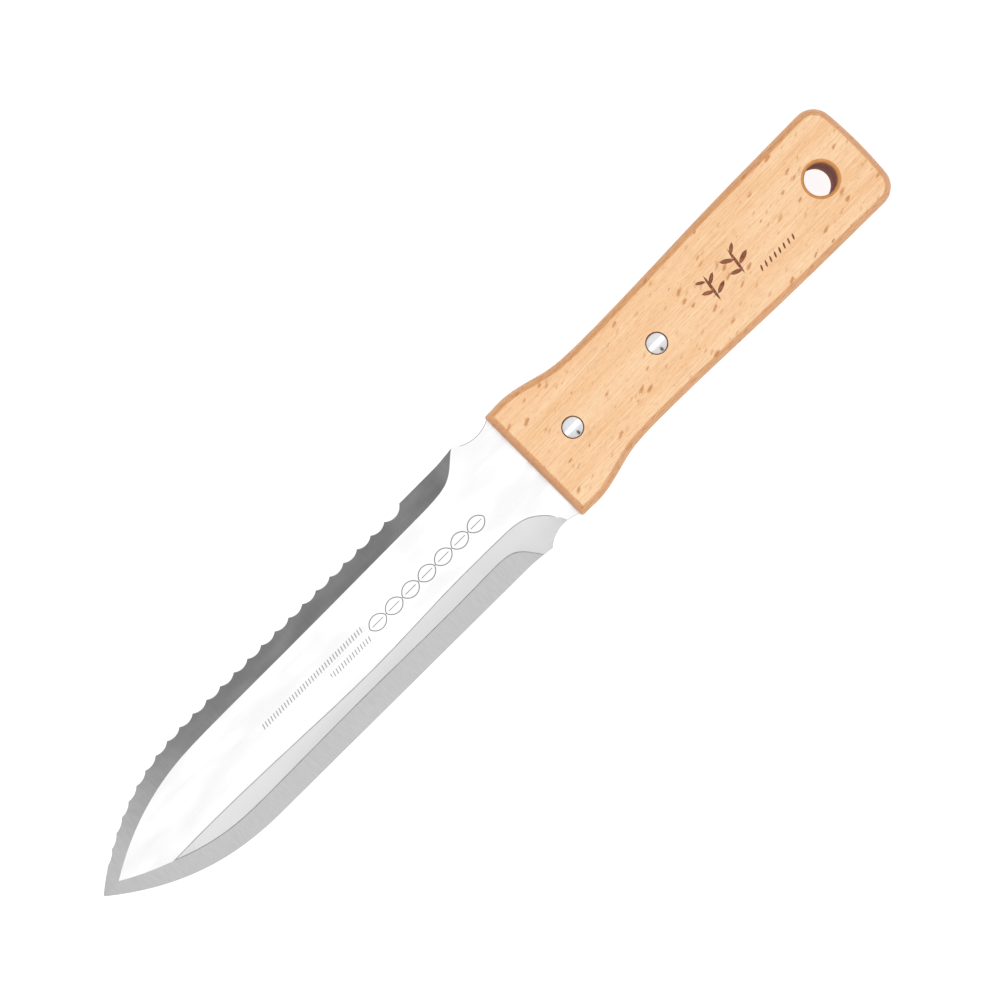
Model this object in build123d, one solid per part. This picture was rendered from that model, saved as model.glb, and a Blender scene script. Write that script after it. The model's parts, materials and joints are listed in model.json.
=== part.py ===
from build123d import *
import math
import os

# A hori hori: a double-edged digging knife with a partial tang riveted into a one-piece beech handle.
#
# X runs along the knife from the point (-X) to the butt (+X). The serrated edge is on +Y and the smooth edge
# on -Y. +Z is the ground face. The origin is under the middle of the knife, in the plane of the handle's back.
# A "station" is a distance in mm along the knife: from the point on the blade, from the front on the handle.

# Overall sizes
BLADE_LENGTH = 184.0
BLADE_THICKNESS = 2.8
HANDLE_LENGTH = 138.0
HANDLE_THICKNESS = 20.0

# Blade outline: half widths and stations from the point
NOSE_LENGTH = 58.0
NOSE_POWER = 2.35
NOSE_HALF_WIDTH = 20.2
SMOOTH_HALF_WIDTH = 20.75
PLAIN_HALF_WIDTH = 20.9
SHOULDER_HALF_WIDTH = 21.6
SHOULDER_FROM_FRONT = 13.2
FLARE_LENGTH = 9.0
NECK_HALF_WIDTH = 18.7
NECK_FROM_FRONT = 6.0
POINT_RADIUS = 0.6

# Serrations: equal round scallops, cut at a slant to the blade, that get closer and shallower on the nose
SCALLOP_PITCH = 5.87
SCALLOP_DEPTH = 1.0
SCALLOP_SLANT = 14.0
STRAIGHT_SCALLOPS = 14
NOSE_SCALLOPS = 10
NOSE_PITCH_SHRINK = 0.016
NOSE_DEPTH_FADE = 0.06
LAST_SCALLOP_PITCH = 7.2

# Ground faces, all on the +Z side
EDGE_LAND = 0.4
POINT_BEVEL = 3.8
SERRATED_BEVEL = 6.7
SMOOTH_BEVEL = 8.3
SERRATED_NOSE_POWER = 2.2
SMOOTH_NOSE_POWER = 1.7
PLUNGE_STEADY = 90.0
SERRATED_PLUNGE = [(24.0, 0.03), (14.0, 0.07), (9.5, 0.17), (5.7, 0.42), (3.0, 0.70)]
SMOOTH_PLUNGE = [(20.0, 0.01), (13.0, 0.02), (9.0, 0.10), (5.5, 0.35), (2.5, 0.68)]
RUN_OUT_MARGIN = 0.4
INNER_GRIND_HALF_WIDTH = 8.3
INNER_GRIND_SLOPE = 4.4
INNER_GRIND_START = 24.0
GRIND_OVERRUN = 1.5

# Handle outline: half widths and stations from the handle's front
FRONT_HALF_WIDTH = 20.6
SWELL_HALF_WIDTH = 21.0
SWELL_AT = 8.0
FLARE_HALF_WIDTH = 18.9
FLARE_AT = 18.2
WAIST_HALF_WIDTH = 16.7
WAIST_AT = 37.5
BUTT_HALF_WIDTH = 18.6
BUTT_RADIUS = 6.0
BUTT_BOW = 1.3
# The front corners are a little rounder than the rims, so that the rims run round them whole.
HANDLE_ROUNDING = 2.4
FRONT_CORNER_RADIUS = HANDLE_ROUNDING + 0.2

# Hang hole
HANG_HOLE_RADIUS = 5.0
HANG_HOLE_FROM_BUTT = 16.2
HANG_HOLE_ROUNDING = 1.3

# Tang, in a kerf that is open at the front and both sides
TANG_INSET = 0.5
TANG_BEYOND_RIVET = 9.5
TANG_CORNER_RADIUS = 3.0
KERF_CLEARANCE = 0.05
KERF_END_GAP = 0.8

# Two-part rivets: a solid post driven into a tubular socket
FRONT_RIVET_AT = 16.6
RIVET_PITCH = 35.6
RIVET_HEAD_RADIUS = 3.25
RIVET_HEAD_THICKNESS = 1.1
RIVET_DOME_HEIGHT = 0.4
POST_RADIUS = 1.6
SOCKET_RADIUS = 2.3
SOCKET_END_GAP = 0.8
POST_END_GAP = 0.6
COUNTERBORE_CLEARANCE = 0.15
COUNTERBORE_DEPTH = 1.55
RIVET_HOLE_CLEARANCE = 0.05

FRONT_X = (BLADE_LENGTH - HANDLE_LENGTH) / 2
POINT_X = FRONT_X - BLADE_LENGTH
BUTT_X = FRONT_X + HANDLE_LENGTH
MID_Z = HANDLE_THICKNESS / 2
BLADE_BACK_Z = MID_Z - BLADE_THICKNESS / 2
BLADE_FACE_Z = MID_Z + BLADE_THICKNESS / 2
EDGE_Z = BLADE_BACK_Z + EDGE_LAND
SHOULDER_AT = BLADE_LENGTH - SHOULDER_FROM_FRONT
REAR_RIVET_AT = FRONT_RIVET_AT + RIVET_PITCH
TANG_LENGTH = REAR_RIVET_AT + TANG_BEYOND_RIVET
SERRATED, SMOOTH = 1, -1


def blade_point(station, half_width, side=SERRATED):
    """A plan point on the blade, from its station behind the point and its distance from the middle line."""
    return (POINT_X + station, side * half_width)


def handle_point(station, half_width, side=SERRATED):
    """A plan point on the handle, from its station behind the handle's front."""
    return (FRONT_X + station, side * half_width)


def nose_slope():
    """The nose curve's slope at the point."""
    return NOSE_HALF_WIDTH * NOSE_POWER / NOSE_LENGTH


def nose_half_width(station):
    """The nose curve: a power curve that runs out level at NOSE_LENGTH, set forward by the rounded point."""
    half_angle = math.atan(nose_slope())
    forward = POINT_RADIUS * (1 / math.sin(half_angle) - 1)
    remaining = max(0.0, (NOSE_LENGTH - station) / (NOSE_LENGTH + forward))
    return NOSE_HALF_WIDTH * (1 - remaining ** NOSE_POWER)


def rounded_point_end():
    """Where the point's small arc meets the nose curve, as station and half width."""
    half_angle = math.atan(nose_slope())
    station = POINT_RADIUS * (1 - math.sin(half_angle))
    return station, nose_half_width(station)


def nose_curve(side):
    """One side of the nose, from the rounded point's arc to the full width."""
    start, _ = rounded_point_end()
    steps = 8
    stations = [start + (NOSE_LENGTH - start) * (i / steps) ** 1.4 for i in range(steps + 1)]
    points = [blade_point(s, nose_half_width(s), side) for s in stations]
    return Spline(*points, tangents=[(1, side * nose_slope()), (1, 0)])


def shoulder_and_neck(side, edge_half_width):
    """The edge's flare to the shoulder corner, and the hollow neck behind it, up to the handle's front."""
    flare_start = blade_point(SHOULDER_AT - FLARE_LENGTH, edge_half_width, side)
    shoulder = blade_point(SHOULDER_AT, SHOULDER_HALF_WIDTH, side)
    neck = blade_point(BLADE_LENGTH - NECK_FROM_FRONT, NECK_HALF_WIDTH, side)
    neck_end = blade_point(BLADE_LENGTH, FRONT_HALF_WIDTH - TANG_INSET, side)
    flare = Spline(flare_start, shoulder, tangents=[(1, 0), (1, side * 0.12)])
    return flare, ThreePointArc(shoulder, neck, neck_end)


def last_scallop_stations():
    """The stations of the last straight peak and of the plain edge behind the last scallop."""
    last_peak = NOSE_LENGTH + STRAIGHT_SCALLOPS * SCALLOP_PITCH
    return last_peak, last_peak + LAST_SCALLOP_PITCH


def blade_outline():
    """The exposed blade's plan, before the serrations are cut, closed at the handle's front."""
    arc_end = rounded_point_end()
    point_arc = ThreePointArc(blade_point(*arc_end, SMOOTH), blade_point(0, 0), blade_point(*arc_end, SERRATED))
    smooth_flare, smooth_neck = shoulder_and_neck(SMOOTH, SMOOTH_HALF_WIDTH)
    plain_flare, plain_neck = shoulder_and_neck(SERRATED, PLAIN_HALF_WIDTH)
    last_peak, plain_start = last_scallop_stations()
    nose_end = blade_point(NOSE_LENGTH, NOSE_HALF_WIDTH, SERRATED)
    edges = [point_arc, nose_curve(SERRATED), nose_curve(SMOOTH)]
    edges.append(Line(nose_end, blade_point(last_peak, NOSE_HALF_WIDTH)))
    edges.append(Line(blade_point(last_peak, NOSE_HALF_WIDTH), blade_point(plain_start, PLAIN_HALF_WIDTH)))
    edges.append(Line(blade_point(plain_start, PLAIN_HALF_WIDTH), plain_flare @ 0))
    edges.append(Line(blade_point(NOSE_LENGTH, NOSE_HALF_WIDTH, SMOOTH), smooth_flare @ 0))
    edges += [plain_flare, plain_neck, smooth_flare, smooth_neck]
    edges.append(Line(plain_neck @ 1, smooth_neck @ 1))
    return make_face(Curve() + edges)


def handle_side(side, inset=0.0):
    """One side of the handle, from its front corner to its corner at the butt, set in by a distance."""
    mid_at = (WAIST_AT + HANDLE_LENGTH) / 2
    mid_half_width = (WAIST_HALF_WIDTH + 2 * BUTT_HALF_WIDTH) / 3
    waist = handle_point(WAIST_AT, WAIST_HALF_WIDTH - inset, side)
    front = Spline(
        handle_point(0, FRONT_HALF_WIDTH - inset, side),
        handle_point(SWELL_AT, SWELL_HALF_WIDTH - inset, side),
        handle_point(FLARE_AT, FLARE_HALF_WIDTH - inset, side),
        waist,
        tangents=[(1, side * 0.12), (1, 0)],
    )
    grip = Spline(
        waist,
        handle_point(mid_at, mid_half_width - inset, side),
        handle_point(HANDLE_LENGTH - BUTT_BOW, BUTT_HALF_WIDTH - inset, side),
        tangents=[(1, 0), (1, side * 0.01)],
    )
    return front, grip


def handle_outline():
    """The handle's plan, with a square front, a waist and a gently bowed butt with round corners."""
    upper, lower = handle_side(SERRATED), handle_side(SMOOTH)
    front = Line(lower[0] @ 0, upper[0] @ 0)
    butt = ThreePointArc(upper[1] @ 1, handle_point(HANDLE_LENGTH, 0), lower[1] @ 1)
    outline = make_face(Curve() + [front, *upper, butt, *lower])
    return fillet(outline.vertices().group_by(Axis.X)[-1], BUTT_RADIUS)


def tang_outline():
    """The tang's plan: the handle's own sides set in a little, as far as just behind the rear rivet."""
    upper, lower = handle_side(SERRATED, TANG_INSET), handle_side(SMOOTH, TANG_INSET)
    front = Line(lower[0] @ 0, upper[0] @ 0)
    back = Line(lower[1] @ 1, upper[1] @ 1)
    reach = Pos(FRONT_X + TANG_LENGTH / 2, 0) * Rectangle(TANG_LENGTH, 2 * SHOULDER_HALF_WIDTH)
    tang = make_face(Curve() + [front, *upper, back, *lower]) & reach
    return fillet(tang.vertices().group_by(Axis.X)[-1], TANG_CORNER_RADIUS)


def ground_cutter(face_line, edge_line):
    """What a grind removes: outside a ruled surface from face_line on the face to edge_line lower down."""
    sections = []
    for line, height in ((face_line, BLADE_FACE_Z), edge_line):
        start, end = line @ 0, line @ 1
        out = math.copysign(2 * SHOULDER_HALF_WIDTH, start.Y + end.Y)
        box = Polyline(end, (end.X, out), (start.X, out), start)
        sections.append(Pos(0, 0, height) * make_face(Curve() + [line, box]))
    return loft(sections, ruled=True) + extrude(sections[0], amount=BLADE_THICKNESS)


def beyond(inner, outer, share):
    """The point that lies past outer, on the line from inner, by a share of the distance between them."""
    return tuple(b + (b - a) * share for a, b in zip(inner, outer))


def nose_bevel_width(station, width, power):
    """A bevel's width on the nose, which grows from the point to the full width where the nose ends."""
    return width - (width - POINT_BEVEL) * (1 - station / NOSE_LENGTH) ** power


def bevel_cutter(side, width, nose_power, plunge):
    """The cutting bevel of one edge. It crosses the middle line ahead of the point, where both bevels mitre,
    and runs out at the shoulder corner through the plunge: stations ahead of the corner, and the share risen."""
    face_points, edge_points = [], []
    for share in (-0.08, 0.08, 0.24, 0.46, 0.72, 1.0):
        station = share * NOSE_LENGTH
        slope = nose_slope() * (1 - share) ** (NOSE_POWER - 1)
        across = nose_bevel_width(station, width, nose_power) / math.hypot(1, slope)
        edge = (station, nose_half_width(station))
        inner = (station + slope * across, edge[1] - across)
        face_points.append(inner)
        edge_points.append(beyond(inner, edge, GRIND_OVERRUN / width))
    run_out = SHOULDER_HALF_WIDTH + RUN_OUT_MARGIN
    for ahead, risen in [(PLUNGE_STEADY, 0.0), *plunge, (-RUN_OUT_MARGIN, 1.0)]:
        half_width = NOSE_HALF_WIDTH - width + risen * (run_out - NOSE_HALF_WIDTH + width)
        face_points.append((SHOULDER_AT - ahead, half_width))
        edge_points.append((SHOULDER_AT - ahead, half_width + width + GRIND_OVERRUN))
    face_line = Spline(*[blade_point(*p, side) for p in face_points])
    edge_line = Spline(*[blade_point(*p, side) for p in edge_points])
    drop = (BLADE_FACE_Z - EDGE_Z) * (1 + GRIND_OVERRUN / width)
    return ground_cutter(face_line, (edge_line, BLADE_FACE_Z - drop))


def scallop_peaks():
    """The plan points of the serrations' peaks, from the plain edge forward to the first one near the point."""
    last_peak, plain_start = last_scallop_stations()
    peaks = [(plain_start, PLAIN_HALF_WIDTH)]
    for i in range(STRAIGHT_SCALLOPS + 1):
        peaks.append((last_peak - i * SCALLOP_PITCH, NOSE_HALF_WIDTH))
    station = NOSE_LENGTH
    for i in range(NOSE_SCALLOPS):
        chord = SCALLOP_PITCH * (1 - NOSE_PITCH_SHRINK * (i + 1))
        low, high = station - chord, station
        for _ in range(40):
            middle = (low + high) / 2
            reach = math.hypot(station - middle, nose_half_width(station) - nose_half_width(middle))
            low, high = (middle, high) if reach > chord else (low, middle)
        station = low
        peaks.append((station, nose_half_width(station)))
    return peaks


def scallop_cutters():
    """One slanted round cut between each two peaks. The last, wide scallop is cut with the straight run's wheel."""
    slant = math.radians(SCALLOP_SLANT)
    cutters = []
    peaks = scallop_peaks()
    for i, (behind, ahead) in enumerate(zip(peaks, peaks[1:])):
        half_chord = math.dist(behind, ahead) / 2
        nose_step = max(0, i - STRAIGHT_SCALLOPS)
        plan_depth = SCALLOP_DEPTH * (1 - NOSE_DEPTH_FADE * nose_step) * math.cos(slant)
        half_pitch = half_chord if nose_step else SCALLOP_PITCH / 2
        radius = (half_pitch ** 2 + plan_depth ** 2) / (2 * plan_depth)
        centre_out = math.sqrt(radius ** 2 - half_chord ** 2) / math.cos(slant)
        along = ((behind[0] - ahead[0]) / (2 * half_chord), (behind[1] - ahead[1]) / (2 * half_chord))
        outward = (-along[1], along[0])
        middle = ((behind[0] + ahead[0]) / 2, (behind[1] + ahead[1]) / 2)
        station, half_width = (m + o * centre_out for m, o in zip(middle, outward))
        x, y = blade_point(station, half_width)
        axis = (-outward[0] * math.sin(slant), -outward[1] * math.sin(slant), math.cos(slant))
        plane = Plane(origin=(x, y, BLADE_BACK_Z), z_dir=axis)
        cutters.append(plane * Cylinder(radius, 6 * BLADE_THICKNESS))
    return cutters


def inner_grind_cutter():
    """The shallow wide grind inside the smooth edge's bevel, which runs out on the neck."""
    reach = SHOULDER_HALF_WIDTH + GRIND_OVERRUN - INNER_GRIND_HALF_WIDTH
    face_points = [
        (INNER_GRIND_START - 14.0, INNER_GRIND_HALF_WIDTH - 0.2),
        (INNER_GRIND_START + 60.0, INNER_GRIND_HALF_WIDTH + 0.3),
        (INNER_GRIND_START + 86.0, INNER_GRIND_HALF_WIDTH + 0.8),
        (INNER_GRIND_START + 112.0, INNER_GRIND_HALF_WIDTH),
        (BLADE_LENGTH - 22.0, INNER_GRIND_HALF_WIDTH),
        (BLADE_LENGTH - 12.5, INNER_GRIND_HALF_WIDTH + 1.4),
        (BLADE_LENGTH - 7.0, INNER_GRIND_HALF_WIDTH + 5.2),
        (BLADE_LENGTH - 2.0, SHOULDER_HALF_WIDTH),
    ]
    edge_points = [(station, half_width + reach) for station, half_width in face_points]
    drop = reach * math.tan(math.radians(INNER_GRIND_SLOPE))
    face_line = Spline(*[blade_point(*p, SMOOTH) for p in face_points])
    edge_line = Spline(*[blade_point(*p, SMOOTH) for p in edge_points])
    return ground_cutter(face_line, (edge_line, BLADE_FACE_Z - drop))


def inner_grind_cutter():
    """The shallow wide grind inside the smooth edge's bevel, which runs out on the neck."""
    neck_out = BLADE_LENGTH - NECK_FROM_FRONT + 3.0
    face_points = [
        (INNER_GRIND_START - 14.0, INNER_GRIND_HALF_WIDTH - 0.2),
        (INNER_GRIND_START + 60.0, INNER_GRIND_HALF_WIDTH + 0.3),
        (INNER_GRIND_START + 86.0, INNER_GRIND_HALF_WIDTH + 0.8),
        (INNER_GRIND_START + 112.0, INNER_GRIND_HALF_WIDTH),
        (BLADE_LENGTH - 22.0, INNER_GRIND_HALF_WIDTH),
        (BLADE_LENGTH - 12.5, INNER_GRIND_HALF_WIDTH + 1.4),
        (BLADE_LENGTH - 7.0, INNER_GRIND_HALF_WIDTH + 5.6),
        (neck_out, SHOULDER_HALF_WIDTH),
    ]
    out = SHOULDER_HALF_WIDTH + GRIND_OVERRUN
    drop = (out - INNER_GRIND_HALF_WIDTH) * math.tan(math.radians(INNER_GRIND_SLOPE))
    edge_points = [(station, out) for station, _ in face_points]
    face_line = Spline(*[blade_point(*p, SMOOTH) for p in face_points])
    edge_line = Spline(*[blade_point(*p, SMOOTH) for p in edge_points])
    return ground_cutter(face_line, (edge_line, BLADE_FACE_Z - drop))


def rivet_stations():
    """The rivets' distances behind the handle's front, by name."""
    return {"front": FRONT_RIVET_AT, "rear": REAR_RIVET_AT}


def upright_cylinder(x, radius, low, high):
    """A cylinder on the middle line, between two heights."""
    return Pos(x, 0, (low + high) / 2) * Cylinder(radius, high - low)


def rivet_bore(x):
    """The bore for one rivet's tube, as it passes through the wood and the tang."""
    return upright_cylinder(x, SOCKET_RADIUS + RIVET_HOLE_CLEARANCE, -1, HANDLE_THICKNESS + 1)


def make_blade():
    """The blade, its neck and its tang as one plate, ground and serrated."""
    outline = blade_outline() + tang_outline()
    blade = Pos(0, 0, BLADE_BACK_Z) * extrude(outline, BLADE_THICKNESS)
    blade -= inner_grind_cutter()
    blade -= bevel_cutter(SERRATED, SERRATED_BEVEL, SERRATED_NOSE_POWER, SERRATED_PLUNGE)
    blade -= bevel_cutter(SMOOTH, SMOOTH_BEVEL, SMOOTH_NOSE_POWER, SMOOTH_PLUNGE)
    for cutter in scallop_cutters():
        blade -= cutter
    for station in rivet_stations().values():
        blade -= rivet_bore(FRONT_X + station)
    return blade


def make_handle():
    """The one-piece handle, with its kerf, rivet bores, counterbores and hang hole."""
    handle = extrude(handle_outline(), HANDLE_THICKNESS)
    handle = fillet(handle.edges().filter_by(Axis.Z).group_by(Axis.X)[0], FRONT_CORNER_RADIUS)
    handle = fillet(handle.faces().filter_by(Axis.Z).edges(), HANDLE_ROUNDING)
    hole_x = BUTT_X - HANG_HOLE_FROM_BUTT
    handle -= upright_cylinder(hole_x, HANG_HOLE_RADIUS, -1, HANDLE_THICKNESS + 1)
    hole_rims = handle.edges().filter_by(GeomType.CIRCLE)
    hole_rims = hole_rims.filter_by(lambda e: abs(e.radius - HANG_HOLE_RADIUS) < 0.01)
    handle = fillet(hole_rims, HANG_HOLE_ROUNDING)
    kerf_length = TANG_LENGTH + KERF_END_GAP
    kerf_height = BLADE_THICKNESS + 2 * KERF_CLEARANCE
    kerf = Box(kerf_length, 4 * SHOULDER_HALF_WIDTH, kerf_height, align=(Align.MIN, Align.CENTER, Align.CENTER))
    handle -= Pos(FRONT_X, 0, MID_Z) * kerf
    for station in rivet_stations().values():
        x = FRONT_X + station
        counterbore = RIVET_HEAD_RADIUS + COUNTERBORE_CLEARANCE
        handle -= rivet_bore(x)
        handle -= upright_cylinder(x, counterbore, HANDLE_THICKNESS - COUNTERBORE_DEPTH, HANDLE_THICKNESS + 1)
        handle -= upright_cylinder(x, counterbore, -1, COUNTERBORE_DEPTH)
    return handle


def rivet_head(x):
    """A domed rivet head that rests on the upper counterbore's floor."""
    seat = HANDLE_THICKNESS - COUNTERBORE_DEPTH
    rim = upright_cylinder(x, RIVET_HEAD_RADIUS, seat, seat + RIVET_HEAD_THICKNESS)
    dome_radius = (RIVET_HEAD_RADIUS ** 2 + RIVET_DOME_HEIGHT ** 2) / (2 * RIVET_DOME_HEIGHT)
    crown = seat + RIVET_HEAD_THICKNESS + RIVET_DOME_HEIGHT
    ball = Pos(x, 0, crown - dome_radius) * Sphere(dome_radius)
    blank = upright_cylinder(x, RIVET_HEAD_RADIUS, seat, crown)
    return (blank & ball) + (rim & blank)


def turned_over(solid):
    """The same solid turned half round the knife's long axis, so that it goes in from the back."""
    return solid.mirror(Plane.XY.offset(MID_Z))


def make_rivet_post(x):
    """The rivet's solid half, with its head on the ground face's side."""
    seat = HANDLE_THICKNESS - COUNTERBORE_DEPTH
    end = COUNTERBORE_DEPTH + SOCKET_END_GAP + POST_END_GAP
    return rivet_head(x) + upright_cylinder(x, POST_RADIUS, end, seat)


def make_rivet_socket(x):
    """The rivet's tubular half, with its head on the back."""
    tube_end = HANDLE_THICKNESS - COUNTERBORE_DEPTH - SOCKET_END_GAP
    floor = COUNTERBORE_DEPTH + SOCKET_END_GAP
    tube = upright_cylinder(x, SOCKET_RADIUS, COUNTERBORE_DEPTH, tube_end)
    bore = upright_cylinder(x, POST_RADIUS, floor, tube_end + 1)
    return turned_over(rivet_head(x)) + tube - bore


def build():
    """Every sub-part of the knife, by node name."""
    parts = {"blade": make_blade(), "handle": make_handle()}
    for name, station in rivet_stations().items():
        parts[f"{name}_rivet_post"] = make_rivet_post(FRONT_X + station)
        parts[f"{name}_rivet_socket"] = make_rivet_socket(FRONT_X + station)
    return parts


os.makedirs("parts", exist_ok=True)
for node, shape in build().items():
    export_step(shape, f"parts/{node}.step")
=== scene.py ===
import json
import logging
import math
from dataclasses import dataclass, field
from enum import Enum
from typing import Callable, Sequence

import bmesh
import bpy
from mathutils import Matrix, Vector


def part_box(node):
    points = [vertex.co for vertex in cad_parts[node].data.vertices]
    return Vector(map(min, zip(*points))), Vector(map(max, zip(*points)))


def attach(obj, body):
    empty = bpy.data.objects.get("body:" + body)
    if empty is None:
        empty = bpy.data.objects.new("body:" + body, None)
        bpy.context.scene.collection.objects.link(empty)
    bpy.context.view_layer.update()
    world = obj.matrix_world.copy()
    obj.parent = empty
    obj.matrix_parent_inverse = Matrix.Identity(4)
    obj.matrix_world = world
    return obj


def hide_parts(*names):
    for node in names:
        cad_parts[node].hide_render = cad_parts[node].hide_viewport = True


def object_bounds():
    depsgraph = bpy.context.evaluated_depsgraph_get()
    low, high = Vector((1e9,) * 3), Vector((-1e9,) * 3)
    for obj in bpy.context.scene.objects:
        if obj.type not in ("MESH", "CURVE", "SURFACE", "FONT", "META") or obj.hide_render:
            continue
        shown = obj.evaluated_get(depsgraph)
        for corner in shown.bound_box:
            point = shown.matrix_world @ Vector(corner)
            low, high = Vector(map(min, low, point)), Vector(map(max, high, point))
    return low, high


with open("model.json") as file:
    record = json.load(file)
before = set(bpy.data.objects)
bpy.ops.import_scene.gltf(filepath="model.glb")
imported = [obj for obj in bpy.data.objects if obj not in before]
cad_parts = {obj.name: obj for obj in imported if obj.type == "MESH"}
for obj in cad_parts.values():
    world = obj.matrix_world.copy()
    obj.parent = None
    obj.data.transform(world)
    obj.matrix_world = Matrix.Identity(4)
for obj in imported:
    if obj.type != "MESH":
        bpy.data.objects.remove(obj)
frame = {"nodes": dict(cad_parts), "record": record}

Piece = bpy.types.Object
Material = bpy.types.Material
Socket = bpy.types.NodeSocket
Node = bpy.types.Node
Edge = bmesh.types.BMEdge
Colour = tuple[float, float, float]
Pair = tuple[float, float]

log = logging.getLogger("hori_hori")
MM = 0.001
NEAR = 0.01 * MM
HEAD_DEPTH = 1.55 * MM
BODY = "root"
CAD_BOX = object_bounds()


def hang_hole() -> dict:
    """The record's mount for the hang hole."""
    return next(mount for mount in frame["record"]["mounts"] if mount["name"] == "hang_hole")


class Slot(Enum):
    """The record's material slots, one for each kind of new piece."""

    BLADE = "blade_steel"
    WOOD = "beech"
    RIVET = "rivet_steel"


# --- Shader wiring ---


class ShaderSheet:
    """One node tree, with short calls for the nodes that the finishes share."""

    def __init__(self, tree: bpy.types.NodeTree) -> None:
        """Starts a material's or a world's node tree afresh."""
        self.tree = tree
        self.tree.nodes.clear()

    def node(self, kind: str, **settings: object) -> Node:
        """Adds a node.

        Args:
            kind: the node's type, without its ShaderNode prefix.
            **settings: the node's own properties.

        Returns:
            The new node.
        """
        made = self.tree.nodes.new("ShaderNode" + kind)
        for name, value in settings.items():
            setattr(made, name, value)
        return made

    def feed(self, socket: Socket, value: object) -> None:
        """Gives a socket a link, or a constant.

        Args:
            socket: the input to feed.
            value: an output socket to link, or the constant itself.
        """
        if isinstance(value, Socket):
            self.tree.links.new(value, socket)
        else:
            socket.default_value = value

    def math(self, operation: str, *values: object) -> Socket:
        """Adds one sum.

        Args:
            operation: the Math node's operation.
            *values: its inputs, as sockets or numbers.

        Returns:
            The result's socket.
        """
        made = self.node("Math", operation=operation)
        for socket, value in zip(made.inputs, values):
            self.feed(socket, value)
        return made.outputs[0]

    def times(self, first: object, second: object) -> Socket:
        """The product of two values."""
        return self.math("MULTIPLY", first, second)

    def plus(self, first: object, second: object) -> Socket:
        """The sum of two values."""
        return self.math("ADD", first, second)

    def minus(self, first: object, second: object) -> Socket:
        """The first value less the second."""
        return self.math("SUBTRACT", first, second)

    def size_of(self, value: object) -> Socket:
        """A value without its sign."""
        return self.math("ABSOLUTE", value)

    def ease(
        self, value: object, low: float, high: float, to: Pair = (0.0, 1.0)
    ) -> Socket:
        """Maps a value smoothly from one range to another, and holds it at the ends.

        Args:
            value: what to map.
            low: where the ramp starts.
            high: where the ramp ends.
            to: the values at the two ends.

        Returns:
            The mapped value's socket.
        """
        made = self.node("MapRange", interpolation_type="SMOOTHSTEP")
        names = ("Value", "From Min", "From Max", "To Min", "To Max")
        for name, number in zip(names, (value, low, high, *to)):
            self.feed(made.inputs[name], number)
        return made.outputs["Result"]

    def blend(self, share: object, first: object, second: object, how: str = "MIX") -> Socket:
        """Mixes two colours.

        Args:
            share: how much of the second colour.
            first: the colour at 0.
            second: the colour at 1.
            how: the blend type.

        Returns:
            The mixed colour's socket.
        """
        made = self.node("Mix", data_type="RGBA", blend_type=how)
        self.feed(made.inputs["Factor"], share)
        for socket, value in zip((made.inputs[6], made.inputs[7]), (first, second)):
            self.feed(socket, value if isinstance(value, Socket) else (*value, 1.0))
        return made.outputs[2]

    def place(
        self, stretch: Sequence[float], turn_deg: float = 0.0, shift: Sequence[float] = (0, 0, 0)
    ) -> Socket:
        """Object coordinates, turned about Z and then scaled.

        Args:
            stretch: how many pattern units there are in a millimetre, along X, Y and Z.
            turn_deg: the pattern's turn about Z, in degrees.
            shift: the pattern's own start, in pattern units.

        Returns:
            The vector's socket.
        """
        coordinates = self.node("TexCoord")
        turned = self.node("VectorRotate", rotation_type="Z_AXIS")
        self.feed(turned.inputs["Vector"], coordinates.outputs["Object"])
        self.feed(turned.inputs["Angle"], -math.radians(turn_deg))
        mapped = self.node("Mapping")
        self.feed(mapped.inputs["Vector"], turned.outputs["Vector"])
        self.feed(mapped.inputs["Scale"], [s / MM for s in stretch])
        self.feed(mapped.inputs["Location"], shift)
        return mapped.outputs["Vector"]

    def grain(self, vector: Socket, detail: float = 3.0, rough: float = 0.55) -> Socket:
        """Fractal noise at a scale of one pattern unit.

        Args:
            vector: the pattern's coordinates.
            detail: octaves.
            rough: how strong each finer octave is.

        Returns:
            The noise value's socket.
        """
        made = self.node("TexNoise")
        self.feed(made.inputs["Vector"], vector)
        self.feed(made.inputs["Scale"], 1.0)
        self.feed(made.inputs["Detail"], detail)
        self.feed(made.inputs["Roughness"], rough)
        return made.outputs["Fac"]

    def paint(self, shader: Node, colour: Socket, rough: Socket, normal: Socket) -> None:
        """Feeds a shader its colour, roughness and relief."""
        for name, value in (("Base Color", colour), ("Roughness", rough), ("Normal", normal)):
            self.feed(shader.inputs[name], value)

    def split(self, vector: Socket) -> list[Socket]:
        """The three parts of a vector, as sockets."""
        made = self.node("SeparateXYZ")
        self.feed(made.inputs[0], vector)
        return list(made.outputs)

    def bump(
        self, height: Socket, depth_mm: float, strength: float = 1.0, normal: object = None
    ) -> Socket:
        """Turns a height from 0 to 1 into a normal.

        Args:
            height: the height's socket.
            depth_mm: the relief's depth, in millimetres.
            strength: how much of it shows.
            normal: another bump to add it to.

        Returns:
            The normal's socket.
        """
        made = self.node("Bump")
        self.feed(made.inputs["Height"], height)
        self.feed(made.inputs["Distance"], depth_mm * MM)
        self.feed(made.inputs["Strength"], strength)
        if normal is not None:
            self.feed(made.inputs["Normal"], normal)
        return made.outputs["Normal"]


# --- Finishes ---


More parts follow.
